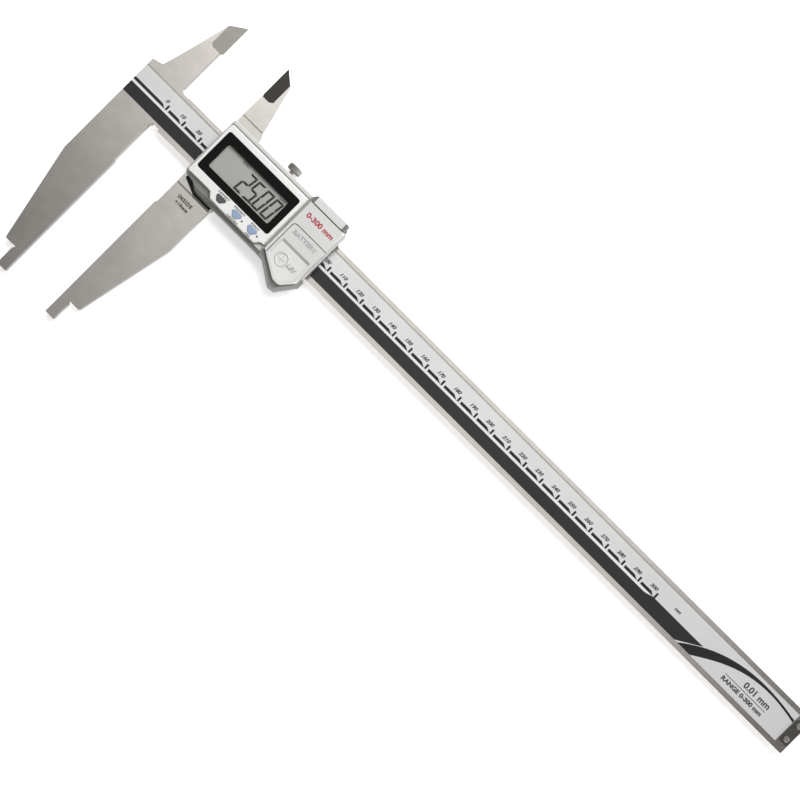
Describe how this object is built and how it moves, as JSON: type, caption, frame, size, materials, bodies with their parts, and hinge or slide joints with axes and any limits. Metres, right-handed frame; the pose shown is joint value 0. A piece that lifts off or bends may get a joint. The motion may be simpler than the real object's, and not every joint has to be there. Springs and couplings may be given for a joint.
{
  "type": "digital caliper",
  "caption": "Long digital caliper with long nibbed lower jaws, bladed upper jaws, a sliding display unit and a printed scale along the beam.",
  "frame": {"origin": "centre of the overall bounding box in X and Y, on the plane the back of the slider lies on", "axes": "+X along the beam to its free end, +Y across the beam to the upper blades, +Z out of the display"},
  "size_m": [0.4056, 0.15, 0.0154],
  "materials": {
    "ground_steel": "satin, fine ground grain",
    "slider_steel": "satin, fine ground grain",
    "silver_shell": "satin silver-white",
    "dark_shell": "satin grey",
    "window_black": "smooth, near black",
    "clear_window": "clear and polished",
    "display_grey": "matt grey polariser",
    "scale_print": "silver-white printed foil, matt",
    "board_green": "solder mask",
    "chip_black": "matt",
    "rubber_black": "matt",
    "seal_grey": "matt",
    "cell_steel": "polished nickel",
    "contact_brass": "bright",
    "gib_bronze": "satin",
    "screw_steel": "satin",
    "knurl_steel": "knurled, satin",
    "stop_steel": "satin dark",
    "button_blue": "gloss",
    "button_grey": "gloss",
    "holder_white": "matt",
    "flex_amber": "smooth",
    "label_silver": "satin foil"
  },
  "bodies": {
    "beam": {"main_beam": "ground_steel", "scale_strip": "board_green", "scale_label": "scale_print", "stop_plate": "stop_steel", "stop_screws": "screw_steel"},
    "slider": {"slider_frame": "slider_steel", "gib": "gib_bronze", "gib_screws": "screw_steel", "back_label": "label_silver", "housing_screws": "screw_steel", "battery_housing_screws": "screw_steel", "display_housing": "silver_shell", "lower_trim": "dark_shell", "housing_gasket": "rubber_black", "foot_seal": "rubber_black", "read_head_board": "board_green", "main_board": "board_green", "board_parts": "chip_black", "board_connector": "chip_black", "contact_domes": "cell_steel", "keypad_seal": "rubber_black", "lcd_holder": "holder_white", "zebra_strip": "rubber_black", "lcd_panel": "display_grey", "window_lens": "clear_window", "window_bezel": "window_black", "battery_housing": "silver_shell", "battery_cell": "cell_steel", "cell_spring": "contact_brass", "cell_side_contact": "contact_brass", "battery_lid": "silver_shell", "lid_gasket": "rubber_black", "lid_screw": "screw_steel", "data_socket": "chip_black", "socket_contacts": "contact_brass", "connector_seal": "seal_grey", "connector_cover": "silver_shell", "connector_screws": "screw_steel", "module_flex": "flex_amber", "thumb_grip": "dark_shell", "wiper_left": "rubber_black", "wiper_right": "rubber_black", "wiper_holder": "dark_shell", "wiper_screws": "screw_steel"},
    "clamp_pad": {"clamp_pad": "contact_brass"},
    "clamp_screw": {"clamp_screw": "knurl_steel"},
    "button_offset": {"button_offset": "button_grey"},
    "button_preset": {"button_preset": "button_blue"},
    "button_zero": {"button_zero": "button_blue"}
  },
  "joints": [
    {"name": "slider_travel", "type": "slide", "parent": "beam", "child": "slider", "axis": [1, 0, 0], "range_m": [-0.025, 0.275]},
    {"name": "pad_press", "type": "slide", "parent": "slider", "child": "clamp_pad", "axis": [0, -1, 0], "range_m": [-0.0005, 0.0002]},
    {"name": "clamp_turn", "type": "hinge", "parent": "clamp_pad", "child": "clamp_screw", "pos_m": [-0.12445, 0.045, 0.004], "axis": [0, -1, 0], "range_deg": [-360, 144]},
    {"name": "press_offset", "type": "slide", "parent": "slider", "child": "button_offset", "axis": [0, 0, -1], "range_m": [0, 0.0004], "stiffness_N_per_m": 2000, "springref_m": -0.0002},
    {"name": "press_preset", "type": "slide", "parent": "slider", "child": "button_preset", "axis": [0, 0, -1], "range_m": [0, 0.0004], "stiffness_N_per_m": 2000, "springref_m": -0.0002},
    {"name": "press_zero", "type": "slide", "parent": "slider", "child": "button_zero", "axis": [0, 0, -1], "range_m": [0, 0.0004], "stiffness_N_per_m": 2000, "springref_m": -0.0002}
  ],
  "couplings": [
    {"joint": "clamp_turn", "follows": "pad_press", "rad_per_m": 12566}
  ]
}
